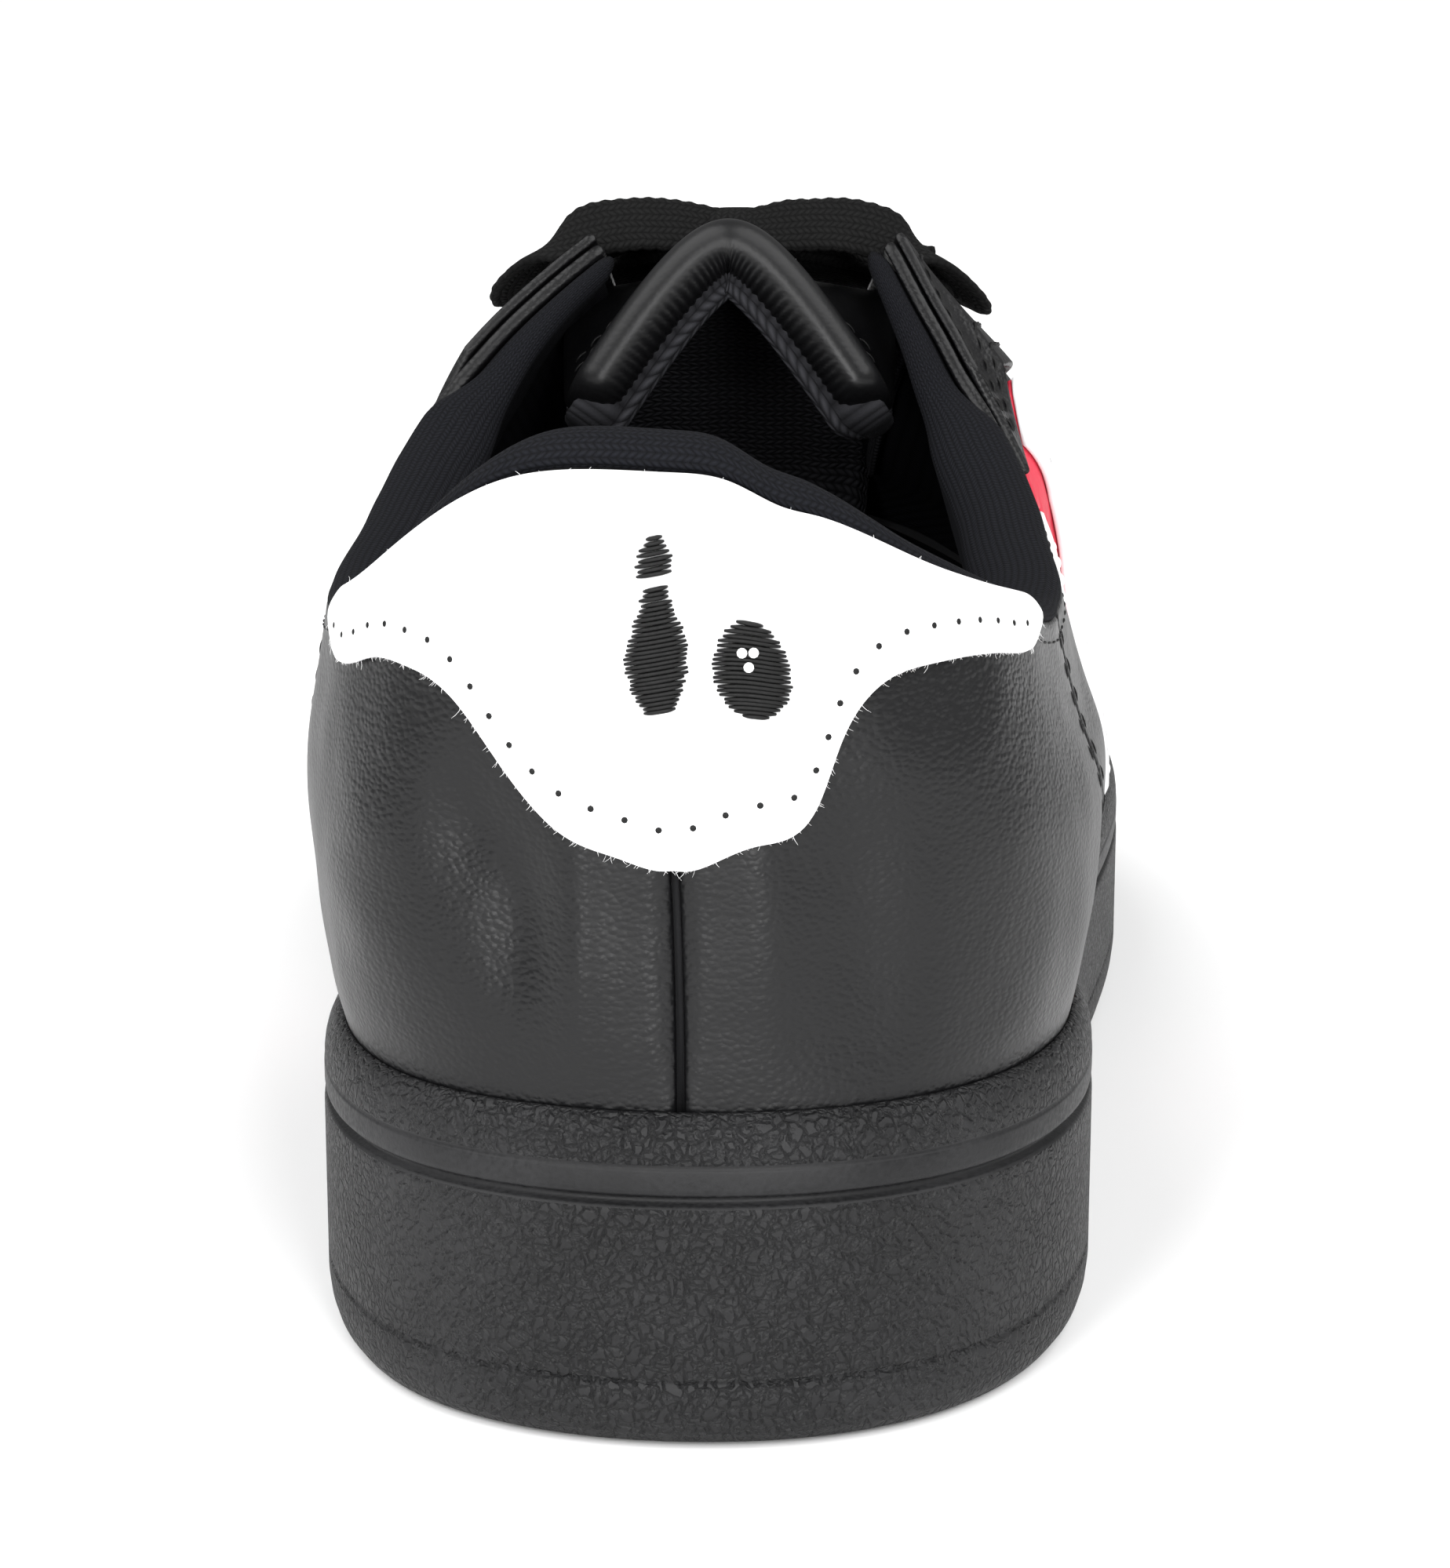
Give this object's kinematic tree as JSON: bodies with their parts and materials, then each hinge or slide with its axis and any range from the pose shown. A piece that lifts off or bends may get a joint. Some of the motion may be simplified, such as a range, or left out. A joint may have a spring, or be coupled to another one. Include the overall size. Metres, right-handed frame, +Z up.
{
  "type": "bowling shoe",
  "caption": "Low-cut laced bowling shoe for the right foot: black leather upper with a white heel tab, padded collar and tongue, on a moulded black rubber cup sole.",
  "frame": {"origin": "on the ground, in the middle of the sole's plan", "axes": "+Y from heel to toe, +X to the outer (lateral) side of this right shoe, +Z up"},
  "size_m": [0.1112, 0.3003, 0.1102],
  "materials": {
    "sole_rubber": "moulded, pebbled, matt",
    "sole_foam": "open-cell foam",
    "board": "pressed fibre",
    "sock_cloth": "brushed cloth on foam",
    "black_leather": "fine grain, soft sheen",
    "white_leather": "smooth matt",
    "red_leather": "smooth matt",
    "badge_thread": "satin stitch",
    "stiffener": "thermoplastic sheet",
    "knit_lining": "ribbed knit",
    "collar_foam": "soft foam",
    "lace_weave": "flat woven",
    "aglet_plastic": "clear-coated film"
  },
  "bodies": {
    "shoe": {"outsole": "sole_rubber", "midsole_filler": "sole_foam", "insole_board": "board", "sockliner": "sock_cloth", "heel_panel_lateral": "black_leather", "heel_panel_medial": "black_leather", "quarter_lateral": "black_leather", "quarter_medial": "black_leather", "vamp": "black_leather", "toe_cap": "black_leather", "heel_tab": "white_leather", "heel_badge": "badge_thread", "band_backing_lateral": "red_leather", "band_backing_medial": "red_leather", "side_band_front_lateral": "white_leather", "side_band_front_medial": "white_leather", "side_band_rear_lateral": "white_leather", "side_band_rear_medial": "white_leather", "eyestay_lateral": "black_leather", "eyestay_medial": "black_leather", "heel_counter": "stiffener", "toe_puff": "stiffener", "quarter_lining_lateral": "knit_lining", "quarter_lining_medial": "knit_lining", "vamp_lining": "knit_lining", "collar_padding": "collar_foam", "collar_lining": "knit_lining", "lace_bars": "lace_weave", "lace_knot": "lace_weave", "lace_loop_lateral": "lace_weave", "lace_loop_medial": "lace_weave", "lace_tail_lateral": "lace_weave", "lace_tail_medial": "lace_weave", "aglet_lateral": "aglet_plastic", "aglet_medial": "aglet_plastic"},
    "tongue": {"tongue_outer": "black_leather", "tongue_foam": "collar_foam", "tongue_lining": "knit_lining"}
  },
  "joints": [
    {"name": "tongue_flex", "type": "hinge", "parent": "shoe", "child": "tongue", "pos_m": [0, 0.033, 0.064], "axis": [1, 0, 0], "range_deg": [0, 10], "stiffness_Nm_per_rad": 0.4, "springref_deg": -2.86}
  ]
}
